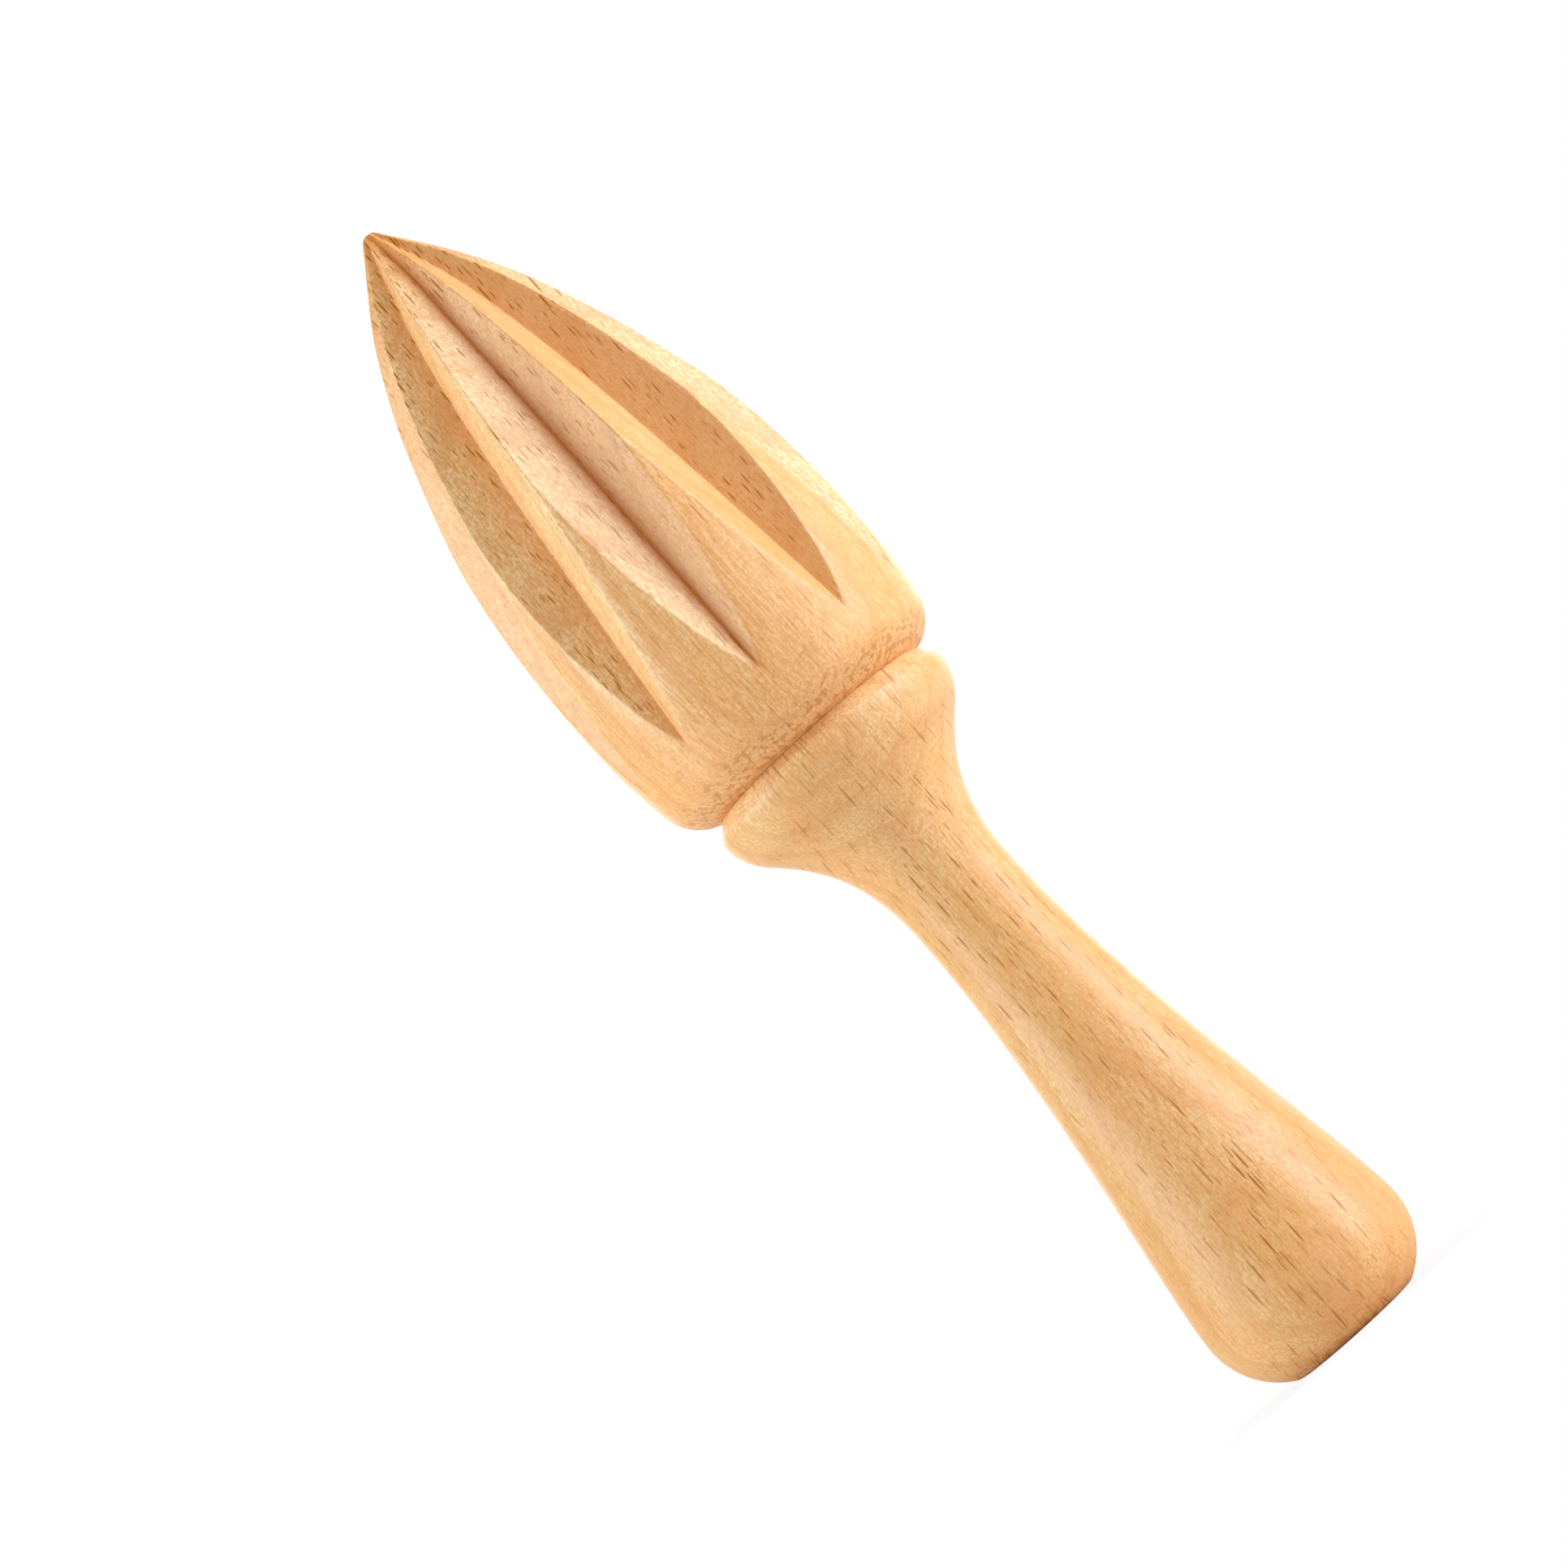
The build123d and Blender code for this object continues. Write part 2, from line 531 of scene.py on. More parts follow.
        dry = bench.math("MULTIPLY", bench.math("MAXIMUM", pores, end), self.dry_roughness)
        rough = bench.math("ADD", bench.spread(fibre, *self.roughness), dry)
        dents = bench.math("MAXIMUM", torn, pores)
        height = bench.math("SUBTRACT", bench.math("MULTIPLY", fibre, self.fibre_relief), dents)
        depth = {"Strength": self.relief_strength, "Distance": self.relief}
        bump = bench.add("Bump", {**depth, "Height": height})
        shader = bench.add("BsdfPrincipled", {
            "Base Color": colour,
            "Roughness": rough,
            "IOR": self.refraction,
            "Normal": bump.outputs[0],
        })
        bench.add("OutputMaterial", {"Surface": shader.outputs[0]})
        return made

    def rays(self, bench: NodeBench, place: Socket, normal: Socket, wood: Socket) -> Socket:
        """Scatter the bold rays in clusters among the faint ones.

        Args:
            bench: Where the nodes go.
            place: Coordinates of the piece.
            normal: Direction of the surface.
            wood: Coordinates in the wood.

        Returns:
            How dark a ray is, 0 between the rays.
        """
        crowd = bench.spread(bench.grain(wood, self.cluster_size, detail=1.0), *self.cluster_shares)
        bold = bench.math("MULTIPLY", self.bold_rays.shade(bench, wood), crowd)
        rays = bench.math("MAXIMUM", bold, self.faint_rays.shade(bench, wood))
        return bench.math("MULTIPLY", rays, self.ray_ends(bench, place, normal))

    def ray_ends(self, bench: NodeBench, place: Socket, normal: Socket) -> Socket:
        """Find how dark the rays show: fully where they end at the surface, faintly where they lie in it.

        The walls of the flutes aren't sanded, so the ray ends stay open there.

        Args:
            bench: Where the nodes go.
            place: Coordinates of the piece.
            normal: Direction of the surface.

        Returns:
            About 1 at the front and back, down to a quarter at the sides; more on cut walls and in the
            core of the billet, less far out.
        """
        sideways = bench.math("ABSOLUTE", bench.part_of(normal, "X"))
        sanded = bench.scaled(bench.ease(sideways, *self.sanded_limits), self.sanded_least, 1.0)
        opened = bench.math("MULTIPLY", bench.ease(sideways, *self.open_limits), bench.mark(Mark.CUT))
        out = bench.length(bench.stretch(place, (1, 1, 0)))
        core = bench.scaled(bench.ease(out, *self.core_reach), *self.core_shares)
        open_core = bench.math("MULTIPLY", core, bench.scaled(opened, 1.0, self.open_most))
        return bench.math("MULTIPLY", sanded, open_core)

    def end_wood_and_underside_shade(self, bench: NodeBench, normal: Socket, blush: Socket, speck: Socket) -> Socket:
        """Find where fibres end at the surface and drink the oil, with a blotchy border.

        Args:
            bench: Where the nodes go.
            normal: Direction of the surface.
            blush: Noise that makes the border wander.
            speck: Noise that frays the border.

        Returns:
            1 on the undersides, little on slopes that face up, 0 along the fibres; the fall from undersides
            to upward slopes is painted shade.
        """
        slope = bench.part_of(normal, "Z")
        middle = (self.border_wander + self.border_fray) / 2
        fray = bench.math("MULTIPLY_ADD", speck, self.border_fray, -middle)
        fray = bench.math("MULTIPLY_ADD", blush, self.border_wander, fray)
        cross = bench.ease(bench.math("ADD", bench.math("ABSOLUTE", slope), fray), *self.end_slopes)
        # Painted shade: full end-grain darkening on undersides, only a share on slopes that face up.
        underside_shade = bench.ease(slope, self.level_reach, -self.level_reach)
        return bench.math("MULTIPLY", cross, bench.scaled(underside_shade, self.upper_least, 1.0))

    def late_band(self, bench: NodeBench, wood: Socket) -> Socket:
        """Dark line at the outer edge of each growth ring.

        Args:
            bench: Where the nodes go.
            wood: Coordinates in the wood.

        Returns:
            0 in early wood, rising to 1 at the end of a ring.
        """
        wander = bench.grain(wood, self.tone_mottle.size, detail=1.0)
        beside = bench.math("SUBTRACT", bench.part_of(wood, "X"), self.heart[0])
        behind = bench.math("SUBTRACT", bench.part_of(wood, "Y"), self.heart[1])
        squares = [bench.math("MULTIPLY", reach, reach) for reach in (beside, behind)]
        widths = bench.math("DIVIDE", bench.math("SQRT", bench.math("ADD", *squares)), self.ring_width)
        share = bench.math("FRACT", bench.math("MULTIPLY_ADD", wander, self.ring_wander, widths))
        late = bench.ease(share, *self.late_limits)
        return bench.math("MULTIPLY", late, bench.ease(share, *self.ring_end_limits))

    def seam_gap(self, bench: NodeBench, place: Socket) -> Socket:
        """Height above or below the bottom of the groove."""
        level = self.seam_height + self.seam_lift
        return bench.math("ABSOLUTE", bench.math("SUBTRACT", bench.part_of(place, "Z"), level))

    def glue_dirt(self, bench: NodeBench, place: Socket, gap: Socket, fibre: Socket) -> Socket:
        """Dark glue line at the bottom of the groove, which shows in places only.

        Args:
            bench: Where the nodes go.
            place: Coordinates of the piece.
            gap: Height above or below the bottom of the groove.
            fibre: Fibre noise that breaks the line up.

        Returns:
            1 at the seam, 0 a little way off and where the joint is closed.
        """
        ragged = bench.scaled(fibre, *self.glue_heights)
        line = bench.ease(bench.math("DIVIDE", gap, ragged), *self.glue_limits)
        return bench.math("MULTIPLY", line, self.glue_mottle.marks(bench, place))


@dataclass
class Handle:
    """Turned handle: flat butt, long waisted grip, flare, rounded collar and the socket for the tenon."""

    finish: OiledBeech
    seam_height: float
    socket_foot: float
    butt_face_radius: float = 7.95 * MM
    butt_radius: float = 13.05 * MM
    butt_rise: float = 8.3 * MM
    butt_ease: float = 0.5 * MM
    waist_radius: float = 6.7 * MM
    waist_height: float = 62.6 * MM
    flare_radius: float = 13.6 * MM
    flare_height: float = 79.0 * MM
    flare_slope: float = 45.0
    collar_radius: float = 15.65 * MM
    collar_height: float = 83.4 * MM
    seam_radius: float = SEAM_RADIUS
    seam_ease: float = SEAM_EASE
    socket_radius: float = 5.6 * MM
    grip_arm_shares: Pair = (0.115, 0.370)
    flare_arm_shares: Pair = (0.562, 0.283)
    collar_arm_shares: Pair = (0.588, 0.165)
    crown_width_share: float = 0.573
    crown_height_shares: Pair = (0.335, 0.436)
    column_count: int = 192

    def outline(self) -> Outline:
        """Draw the side view from the middle of the butt face to the bottom of the socket.

        Returns:
            The outline.
        """
        side = Outline((0.0, 0.0))
        self.draw_butt(side)
        butt_ring = (self.butt_radius, self.butt_rise)
        waist_ring = (self.waist_radius, self.waist_height)
        flare_ring = (self.flare_radius, self.flare_height)
        collar_ring = (self.collar_radius, self.collar_height)
        grip = curve_between(butt_ring, waist_ring, (0, 0), self.grip_arm_shares)
        flare = curve_between(waist_ring, flare_ring, (0, self.flare_slope), self.flare_arm_shares)
        collar = curve_between(flare_ring, collar_ring, (self.flare_slope, 0), self.collar_arm_shares)
        side.curve(grip, steps=72)
        side.curve(flare, steps=30)
        side.curve(collar, steps=16)
        self.draw_crown(side)
        side.line((self.socket_radius, self.seam_height), steps=3)
        side.line((self.socket_radius, self.socket_foot), steps=3)
        side.line((0.0, self.socket_foot), steps=2)
        return side

    def draw_butt(self, side: Outline) -> None:
        """Go out along the butt face, over its eased edge and up the round rim.

        Args:
            side: The outline, which has reached the middle of the butt face.
        """
        run = self.butt_radius - self.butt_face_radius
        rim_radius = (run**2 + self.butt_rise**2) / (2 * run)
        centre = (self.butt_radius - rim_radius, self.butt_rise)
        turn = atan2(-self.butt_rise, self.butt_face_radius - centre[0]) + self.butt_ease / rim_radius
        eased = (centre[0] + rim_radius * cos(turn), centre[1] + rim_radius * sin(turn))
        side.line((self.butt_face_radius - 3 * self.butt_ease, 0.0), steps=4)
        side.line((self.butt_face_radius - self.butt_ease, 0.0), steps=2)
        side.curve([(self.butt_face_radius, 0.0), eased], steps=4)
        side.arc(centre, (self.butt_radius, self.butt_rise), steps=18)

    def draw_crown(self, side: Outline) -> None:
        """Go over the round top of the collar and its eased edge at the seam.

        Args:
            side: The outline, which has reached the widest ring of the collar.
        """
        crown = self.seam_height - self.collar_height
        lip = self.collar_radius - self.seam_radius
        side.curve([
            (self.collar_radius, self.collar_height + self.crown_height_shares[0] * crown),
            (
                self.seam_radius + self.crown_width_share * lip,
                self.seam_height - self.crown_height_shares[1] * crown,
            ),
            (self.seam_radius, self.seam_height - self.seam_ease),
        ], steps=16)
        side.curve([
            (self.seam_radius - self.seam_ease / 2, self.seam_height),
            (self.seam_radius - 2 * self.seam_ease, self.seam_height),
        ], steps=5)

    def build(self) -> bpy.types.Object:
        """Turn the handle and dress it.

        Returns:
            The piece.
        """
        side = self.outline()
        rows = side.rows()
        turn = np.linspace(0, 2 * pi, self.column_count, endpoint=False) - pi / 2
        piece = skin("turned_handle", ring_places(rows[:, :1], turn, rows[:, 1:]), side.ends())
        piece.data.materials.append(self.finish.material())
        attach(piece, "root")
        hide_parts("handle")
        return piece


@dataclass(frozen=True)
class Flute:
    """How one hand-guided flute differs from the drawing, and how its wood looks.

    Each wall, named as seen from outside, runs from 1, cut clean and pale, to -1, burnished dark. On the
    three front flutes these tones are painted light and painted shade: pale on dimly lit walls and for a
    painted sheen, dark on brightly lit walls. Pale walls fade by a share towards the bottom of the flute.
    """

    lean: float
    depth: float
    run_on: float
    # stain is how strong the painted shade along the bottom of the flute is.
    stain: float
    left_wall: float
    right_wall: float
    fade: float = 0.5


@dataclass
class ReamingHead:
    """Reaming head: tenon, rounded shoulder, barrel and long nose, with hand-guided V flutes all round."""

    finish: OiledBeech
    tenon_foot: float
    seam_height: float
    overall_length: float
    tenon_radius: float = 5.5 * MM
    tenon_chamfer: float = 0.6 * MM
    seam_radius: float = SEAM_RADIUS
    seam_ease: float = SEAM_EASE
    shoulder_radius: float = 18.35 * MM
    shoulder_height: float = 90.5 * MM
    shoulder_slope: float = 8.4
    head_radius: float = 19.2 * MM
    head_height: float = 102.6 * MM
    nose_slope: float = 40.7
    tip_radius: float = 1.23 * MM
    tip_height: float = 0.5 * MM
    barrel_arm_shares: Pair = (0.50, 0.40)
    nose_arm_shares: Pair = (0.258, 0.413)
    shoulder_width_share: float = 0.586
    shoulder_height_share: float = 0.098
    shoulder_arm_share: float = 0.42

    flute_count: int = 10
    flute_angle: float = 118.0
    first_flute: float = -90.0
    flute_start_rise: float = 2.0 * MM
    flute_start_inset: float = 0.25 * MM
    flute_start_slope: float = 9.0
    flute_end_radius: float = 0.575 * MM
    flute_end_slope: float = 28.4
    flute_arm_shares: Pair = (0.80, 0.184)
    flute_steps: int = 200
    cut_half_sectors: float = 1.4
    arris_blend: float = 0.16 * MM
    valley_blend: float = 0.22 * MM
    run_out_depth: float = 0.4 * MM

    lean_range: Pair = (0.23 * MM, 0.53 * MM)
    depth_range: Pair = (-0.10 * MM, 0.10 * MM)
    run_on_range: Pair = (0.2 * MM, 1.1 * MM)
    valley_shade_range: Pair = (0.15, 0.5)
    wall_range: Pair = (-0.5, 1.0)
    # The front flutes' wall tones are painted light and painted shade: pale on dimly lit walls and for a
    # painted sheen, dark on brightly lit walls.
    front_flute: Flute = Flute(0.50 * MM, -0.12 * MM, 0.6 * MM, 1.0, 0.78, 0.0, 0.1)
    right_flute: Flute = Flute(0.31 * MM, 0.08 * MM, 1.1 * MM, 0.2, -0.35, -1.0)
    left_flute: Flute = Flute(0.53 * MM, 0.0, 0.6 * MM, 0.33, 0.7, 1.0, 1.0)
    lean_growth: float = 1.6
    straight_tip_radii: float = 4.0
    wander: float = 0.02 * MM
    wander_waves: Pair = (17.0, 41.0)
    seed: int = 7

    painted_valley_shade_reach: float = 1.2 * MM
    cut_depth: float = 0.15 * MM
    pale_arris: float = 1.4 * MM
    dark_arris: float = 0.1 * MM
    pale_wall_fade_reach: float = 3.0 * MM

    wall_columns: int = 13
    land_columns: int = 6
    land_crowding: float = 1.6
    narrowest_wall: float = 3.0
    narrowest_land: float = 1.5

    @property
    def flute_start(self) -> float:
        """Height at which the flutes begin in the drawing."""
        return self.shoulder_height + self.flute_start_rise

    def outline(self) -> Outline:
        """Draw the side view of the turned blank, from the foot of the tenon to the tip.

        Returns:
            The outline.
        """
        side = Outline((0.0, self.tenon_foot))
        side.line((self.tenon_radius - self.tenon_chamfer, self.tenon_foot), steps=2)
        side.line((self.tenon_radius, self.tenon_foot + self.tenon_chamfer), steps=2)
        side.line((self.tenon_radius, self.seam_height), steps=3)
        side.line((self.seam_radius - 2 * self.seam_ease, self.seam_height), steps=3)
        side.curve([
            (self.seam_radius - self.seam_ease / 2, self.seam_height),
            (self.seam_radius, self.seam_height + self.seam_ease),
        ], steps=5)
        rise = self.shoulder_height - self.seam_height
        shoulder_ring = (self.shoulder_radius, self.shoulder_height)
        head_ring = (self.head_radius, self.head_height)
        nose_ring = (self.tip_radius, self.overall_length - self.tip_height)
        side.curve([
            (
                self.seam_radius + self.shoulder_width_share * (self.shoulder_radius - self.seam_radius),
                self.seam_height + self.shoulder_height_share * rise + self.seam_ease / 2,
            ),
            sloped_from(shoulder_ring, -self.shoulder_arm_share * rise, self.shoulder_slope),
            shoulder_ring,
        ], steps=22)
        barrel = curve_between(shoulder_ring, head_ring, (self.shoulder_slope, 0), self.barrel_arm_shares)
        nose = curve_between(head_ring, nose_ring, (0, -self.nose_slope), self.nose_arm_shares)
        side.curve(barrel, steps=44)
        side.curve(nose, steps=130)
        dome_radius = (self.tip_radius**2 + self.tip_height**2) / (2 * self.tip_height)
        side.arc((0.0, self.overall_length - dome_radius), (0.0, self.overall_length), steps=9)
        return side

    def flutes(self, dice: np.random.Generator) -> list[Flute]:
        """Guide each flute a little differently; the three at the front are as in the photograph.

        Args:
            dice: Where the luck comes from.

        Returns:
            The flutes, from the front one round to its left neighbour.
        """
        walls = (self.wall_range, self.wall_range)
        ranges = (self.lean_range, self.depth_range, self.run_on_range, self.valley_shade_range, *walls)
        front, right, left = self.front_flute, self.right_flute, self.left_flute
        hidden_count = self.flute_count - len((front, right, left))
        hidden = [Flute(*(dice.uniform(*limits) for limits in ranges)) for _ in range(hidden_count)]
        return [front, right, *hidden, left]

    def drawn_valley(self, height: np.ndarray) -> np.ndarray:
        """How far the bottom of a flute lies from the axis in the drawing.

        Args:
            height: Heights above the butt face.

        Returns:
            Radii of the valley line; far outside the wood below where the flutes begin.
        """
        start = (self.head_radius - self.flute_start_inset, self.flute_start)
        end = (self.flute_end_radius, self.overall_length)
        slopes = (-self.flute_start_slope, -self.flute_end_slope)
        path = Outline(start)
        path.curve(curve_between(start, end, slopes, self.flute_arm_shares), self.flute_steps)
        radii, heights = np.array(path.points).T
        return np.where(height < start[1], FAR_OUT, np.interp(height, heights, radii))

    def guided_valleys(
        self, height: np.ndarray, flutes: Sequence[Flute], dice: np.random.Generator
    ) -> tuple[np.ndarray, np.ndarray]:
        """Lead the bottom of each flute from its start to the tip as a hand guides it.

        Args:
            height: Heights of the rings, in one column.
            flutes: How each flute differs from the drawing.
            dice: Where the luck comes from.

        Returns:
            How far each bottom line lies from the axis, and how far beside its drawn line.
        """
        along = np.clip((height - self.flute_start) / (self.overall_length - self.flute_start), 0, 1)
        lean, depth, run_on = np.array([(flute.lean, flute.depth, flute.run_on) for flute in flutes]).T
        phase = dice.uniform(0, 2 * pi, (2, len(flutes)))
        slow, quick = self.wander_waves
        uneven = self.wander * (np.sin(slow * along + phase[0]) + np.sin(quick * along + phase[1])) * along
        valley = self.drawn_valley(height + run_on * (1 - along)) - depth * np.sin(pi * along) + uneven
        straightened = np.minimum(1, valley / (self.straight_tip_radii * self.tip_radius))
        return valley, lean * np.minimum(self.lean_growth * along, 1) * straightened

    def edges(
        self, blank: np.ndarray, height: np.ndarray, valley: np.ndarray, offset: np.ndarray
    ) -> list[np.ndarray]:
        """Find where the walls of each flute come out of the blank.

        Args:
            blank: Radii of the blank's rings, in one column.
            height: Heights of the rings, in one column.
            valley: How far each bottom line lies from the axis.
            offset: How far each bottom line lies beside its drawn line.

        Returns:
            Directions of the left and the right edge, counted from the middle of the flute.
        """
        half = radians(self.flute_angle / 2)
        outer = np.where(height > self.overall_length - self.tip_height, self.tip_radius, blank)
        found = []
        for side in (-1, 1):
            lift = (valley * sin(half) - side * offset * cos(half)) / np.maximum(outer, TINY)
            found.append(side * (half - np.arcsin(np.clip(lift, -1, 1))))
        return found

    def surface(self, rows: np.ndarray) -> tuple[np.ndarray, dict[Mark, np.ndarray]]:
        """Cut the flutes into the rings of the blank.

        Every ring gets the same number of columns. They follow the valleys and arrises, so that each
        edge is a clean line of points.

        Args:
            rows: Radii and heights of the blank's rings.

        Returns:
            Places of the points, by ring and column, and their marks: the painted shade near the bottom of
            each flute, whether a point lies on a wall, and the wall's tone, which is painted light and
            painted shade on the front flutes.
        """
        dice = np.random.default_rng(self.seed)
        flutes = self.flutes(dice)
        blank, height = rows[:, :1], rows[:, 1:]
        valley, offset = self.guided_valleys(height, flutes, dice)
        middle = radians(self.first_flute) + np.arange(self.flute_count) * 2 * pi / self.flute_count
        bottom = np.arctan2(offset, valley)
        left, right = self.edges(blank, height, valley, offset)
        left, right, turns = self.columns(middle, bottom, left, right)

        slant = 1 / tan(radians(self.flute_angle / 2))
        radius = np.broadcast_to(blank, turns.shape)
        hollow, fresh = np.zeros(turns.shape), np.zeros(turns.shape)
        for number, flute in enumerate(flutes):
            this = slice(number, number + 1)
            depth, shift = valley[:, this], offset[:, this] * slant
            away = (turns - middle[number] + pi) % (2 * pi) - pi
            near = np.abs(away) < self.cut_half_sectors * pi / self.flute_count
            one = (depth - shift) / np.maximum(np.cos(away) - np.sin(away) * slant, LEAST_DIVISOR)
            other = (depth + shift) / np.maximum(np.cos(away) + np.sin(away) * slant, LEAST_DIVISOR)
            cut = soft_least(one, other, -self.valley_blend)
            radius = np.where(near, soft_least(radius, cut, self.arris_blend), radius)

            gap = np.abs(away - bottom[:, this]) * depth
            cut_through = np.clip((blank - depth) / self.run_out_depth, 0, 1)
            # Painted shade, darkest at the bottom of each flute.
            painted_crease_shade = flute.stain * (1 - gap / self.painted_valley_shade_reach)
            hollow = np.maximum(hollow, np.where(near, painted_crease_shade * cut_through, 0))
            beyond = np.maximum(
                middle[number] + away - right[:, this], left[:, this] - middle[number] - away
            )
            # Wall tone: painted light and painted shade on the front flutes, cut or burnished wood on the
            # others.
            tone = self.wall_tone(flute, away < bottom[:, this], gap)
            arris = np.where(tone > 0, self.pale_arris, self.dark_arris)
            cover = np.clip(1 - beyond * blank / arris, 0, 1)
            fresh += np.where(near, tone * cover * cut_through, 0)
        radius = np.where(height < self.flute_start - self.run_on_range[1], blank, radius)
        cut = np.clip((blank - radius) / self.cut_depth, 0, 1)
        marks = {Mark.HOLLOW: hollow, Mark.CUT: cut, Mark.FRESH_CUT: np.clip(fresh, -1, 1)}
        return ring_places(radius, turns, height), marks

    def wall_tone(self, flute: Flute, on_left: np.ndarray, gap: np.ndarray) -> np.ndarray:
        """Tone of a flute's walls at each point.

        Args:
            flute: The flute.
            on_left: Whether the point lies on the left wall.
            gap: How far the point lies from the bottom of the flute.

        Returns:
            1 where the wall is cut clean and pale, down to -1 where it is burnished; on the front flutes
            these tones are painted light and painted shade.
        """
        tone = np.where(on_left, flute.left_wall, flute.right_wall)
        faded = flute.fade * (1 - np.clip(gap / self.pale_wall_fade_reach, 0, 1) ** 2)
        return np.where(tone > 0, tone * (1 - faded), tone)

    def columns(
        self, middle: np.ndarray, bottom: np.ndarray, left: np.ndarray, right: np.ndarray
    ) -> tuple[np.ndarray, np.ndarray, np.ndarray]:
        """Share out the points of each ring over walls and lands, with a point on every edge.

        Args:
            middle: Directions of the flutes in the drawing.
            bottom: Directions of the bottom lines, counted from the middle of each flute.
            left: Directions of the left edges, counted the same way.
            right: Directions of the right edges, counted the same way.

        Returns:
            Directions of the left and right edges, kept clear of their neighbours, and of all points.
        """
        after = np.roll(middle + left, -1, axis=-1)
        after[:, -1] += 2 * pi
        crest = (middle + right + after) / 2
        before = np.roll(crest, 1, axis=-1)
        before[:, 0] -= 2 * pi
        wall, land = radians(self.narrowest_wall), radians(self.narrowest_land)
        low = middle + bottom
        right = np.clip(middle + right, low + wall, crest - land)
        left = np.clip(middle + left, before + land, low - wall)
        wall_shares = (1 - np.cos(np.linspace(0, pi, self.wall_columns + 1))) / 2
        land_shares = np.linspace(0, 1, self.land_columns + 1) ** self.land_crowding
        turns = np.concatenate([
            self.between(before, left, (1 - land_shares)[::-1][:-1]),
            self.between(left, low, wall_shares[:-1]),
            self.between(low, right, wall_shares[:-1]),
            self.between(right, crest, land_shares[:-1]),
        ], axis=-1)
        return left, right, turns.reshape(len(turns), -1)

    @staticmethod
    def between(low: np.ndarray, high: np.ndarray, shares: np.ndarray) -> np.ndarray:
        """Directions at shares of the way from one to another, for each ring and flute."""
        return low[..., None] + (high - low)[..., None] * shares

    def build(self) -> bpy.types.Object:
        """Turn the head, flute it and dress it.

        Returns:
            The piece.
        """
        side = self.outline()
        places, marks = self.surface(side.rows())
        piece = skin("fluted_head", places, side.ends())
        unmarked_ends = [0.0, 0.0]
        for mark, values in marks.items():
            layer = piece.data.attributes.new(mark.value, "FLOAT", "POINT")
            layer.data.foreach_set("value", [*values.ravel(), *unmarked_ends])
        piece.data.materials.append(self.finish.material())
        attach(piece, "root")
        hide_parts("reaming_head")
        return piece


@dataclass(frozen=True)
class Softbox:
    """A rectangular lamp that stands round the reamer and faces its middle."""

    name: str
    bearing: float
    width: float
    height: float
    power: float
    colour: Colour
    distance: float = 0.55
    lift: float = 0.30

    def place(self, aim: Vector) -> None:
        """Put the lamp up.

        Args:
            aim: The point that it faces, at its own height.
        """
        lamp = bpy.data.lights.new(self.name, "AREA")
        lamp.shape = "RECTANGLE"
        lamp.size = self.width
        lamp.size_y = self.height
        lamp.energy = self.power
        lamp.color = self.colour
        stand = bpy.data.objects.new(self.name, lamp)
        turn = radians(self.bearing)
        stand.location = Vector((sin(turn), -cos(turn), 0)) * self.distance + Vector((0, 0, self.lift))
        level = Vector((aim.x, aim.y, self.lift))
        stand.rotation_mode = "QUATERNION"
        stand.rotation_quaternion = (level - stand.location).to_track_quat("-Z", "Y")
        stand.visible_camera = False
        bpy.context.scene.collection.objects.link(stand)


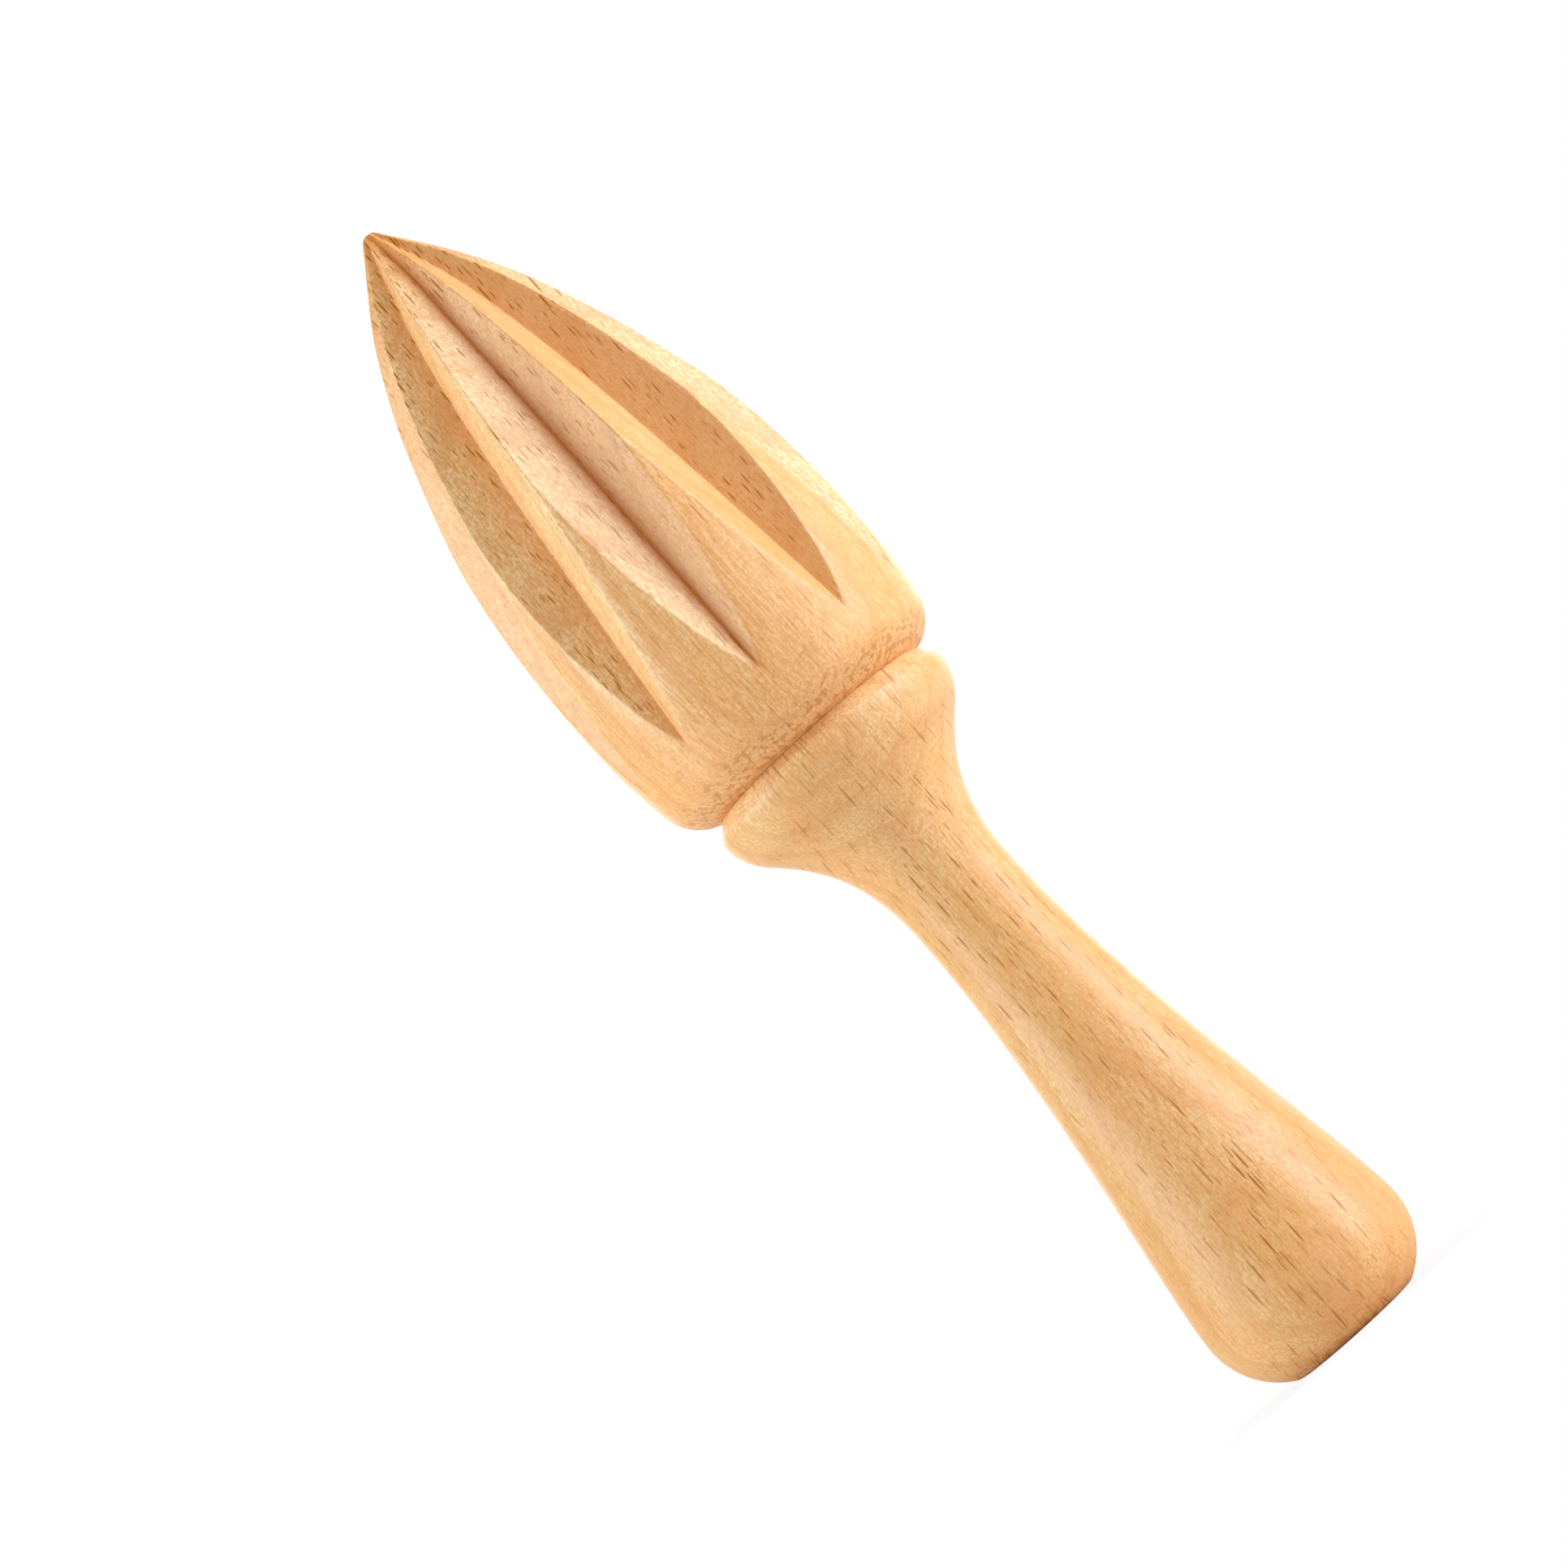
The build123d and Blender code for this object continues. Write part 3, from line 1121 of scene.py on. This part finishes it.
@dataclass
class Studio:
    """White table, soft lamps at both sides and behind, dim warm room light and the camera."""

    softboxes: tuple[Softbox, ...] = (
        Softbox("left_softbox", -76, 0.34, 0.48, 3.4, (0.86, 1.04, 1.22), lift=0.35),
        Softbox("right_softbox", 73, 0.30, 0.58, 4.15, (0.89, 1.01, 1.215)),
        Softbox("back_softbox", 177, 0.80, 0.54, 3.3, (0.90, 1.0, 1.05)),
    )
    room_light: Colour = (0.230, 0.105, 0.0560)
    table_size: float = 6.0
    table_paint: Colour = (0.9, 0.9, 0.9)
    shadow_reach: Pair = (22 * MM, 11 * MM)
    shadow_strength: float = 0.16
    aim: tuple[float, float, float] = (-6.3 * MM, 0.0, 84.6 * MM)
    camera_distance: float = 600 * MM
    camera_rise: float = 5.0
    camera_roll: float = 42.05
    lens: float = 127.25
    sensor_width: float = 36.0
    clip_reach: Pair = (0.05, 20.0)

    def light_room(self) -> None:
        """Make the world: dim soft light on the object, plain white behind it."""
        world = bpy.data.worlds.new("room")
        bpy.context.scene.world = world
        world.use_nodes = True
        bench = NodeBench(world.node_tree)
        path = bench.add("LightPath")
        dim = bench.add("Background", {"Color": opaque(self.room_light)})
        white = bench.add("Background", {"Color": opaque(WHITE)})
        seen = bench.math("MAXIMUM", path.outputs["Is Camera Ray"], path.outputs["Is Transmission Ray"])
        sky = bench.add("MixShader", {0: seen, 1: dim.outputs[0], 2: white.outputs[0]})
        bench.add("OutputWorld", {"Surface": sky.outputs[0]})

    def table_top(self) -> bpy.types.Material:
        """Paint for the table: plain white to the camera, with a faint shadow close round the butt.

        Returns:
            The material.
        """
        made = bpy.data.materials.new("table_white")
        made.use_nodes = True
        bench = NodeBench(made.node_tree)
        path = bench.add("LightPath")
        far = bench.length(bench.add("TexCoord").outputs["Object"])
        shade = bench.math("MULTIPLY", bench.ease(far, *self.shadow_reach), self.shadow_strength)
        matt = bench.add("BsdfDiffuse", {"Color": opaque(self.table_paint)})
        white = bench.add("Emission", {"Color": opaque(WHITE)})
        seen = bench.add("MixShader", {0: shade, 1: white.outputs[0], 2: matt.outputs[0]})
        camera_ray = path.outputs["Is Camera Ray"]
        both = bench.add("MixShader", {0: camera_ray, 1: matt.outputs[0], 2: seen.outputs[0]})
        bench.add("OutputMaterial", {"Surface": both.outputs[0]})
        return made

    def lay_table(self) -> None:
        """Lay the table that the reamer stands on."""
        half = self.table_size / 2
        corners = [(-half, -half, 0), (half, -half, 0), (half, half, 0), (-half, half, 0)]
        mesh = bpy.data.meshes.new("table")
        mesh.from_pydata(corners, [], [(0, 1, 2, 3)])
        mesh.materials.append(self.table_top())
        table = bpy.data.objects.new("table", mesh)
        bpy.context.scene.collection.objects.link(table)

    def place_camera(self) -> None:
        """Put the camera at the photograph's angle."""
        rise, roll = radians(self.camera_rise), radians(self.camera_roll)
        ahead = Vector((0, cos(rise), sin(rise)))
        level_right = Vector((1, 0, 0))
        level_up = level_right.cross(ahead)
        right = level_right * cos(roll) - level_up * sin(roll)
        up = level_up * cos(roll) + level_right * sin(roll)
        eye = Vector(self.aim) - ahead * self.camera_distance
        lens = bpy.data.cameras.new("camera")
        lens.lens = self.lens
        lens.sensor_width = self.sensor_width
        lens.clip_start, lens.clip_end = self.clip_reach
        camera = bpy.data.objects.new("camera", lens)
        camera.matrix_world = Matrix.Translation(eye) @ Matrix((right, up, -ahead)).transposed().to_4x4()
        bpy.context.scene.collection.objects.link(camera)
        bpy.context.scene.camera = camera

    def build(self) -> None:
        """Light the room, lay the table and place lamps and camera."""
        bpy.context.scene.view_settings.view_transform = "Standard"
        self.light_room()
        self.lay_table()
        self.place_camera()
        for softbox in self.softboxes:
            softbox.place(Vector(self.aim))


def main() -> None:
    """Build the reamer and its studio, and report each piece."""
    logging.basicConfig(level=logging.INFO, format="%(name)s: %(message)s")
    handle_box, head_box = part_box("handle"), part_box("reaming_head")
    seam_height = handle_box[1].z
    Studio().build()
    handle = Handle(
        OiledBeech(
            Slot.HANDLE,
            pale=(0.865, 0.585, 0.255),
            honey=(0.83, 0.49, 0.172),
            bold_rays=Dashes((0.15 * MM, 4.5 * MM, 1.9 * MM), (0.42 * MM, 11 * MM, 4.2 * MM), 1.0),
            seed_shift=0.43,
            seam_height=seam_height,
        ),
        seam_height=seam_height,
        socket_foot=head_box[0].z - GLUE_ROOM,
    )
    head = ReamingHead(
        OiledBeech(
            Slot.HEAD,
            pale=(0.95, 0.615, 0.275),
            honey=(0.915, 0.52, 0.19),
            end_slopes=(0.28, 0.62),
            heart=(-14 * MM, 64 * MM),
            seed_shift=0.31,
            seam_height=seam_height,
        ),
        tenon_foot=head_box[0].z,
        seam_height=seam_height,
        overall_length=head_box[1].z,
    )
    for part in (handle, head):
        piece = part.build()
        log.info("%s: %d faces, %s", piece.name, len(piece.data.polygons), part.finish.slot.value)


if __name__ == "__main__":
    main()
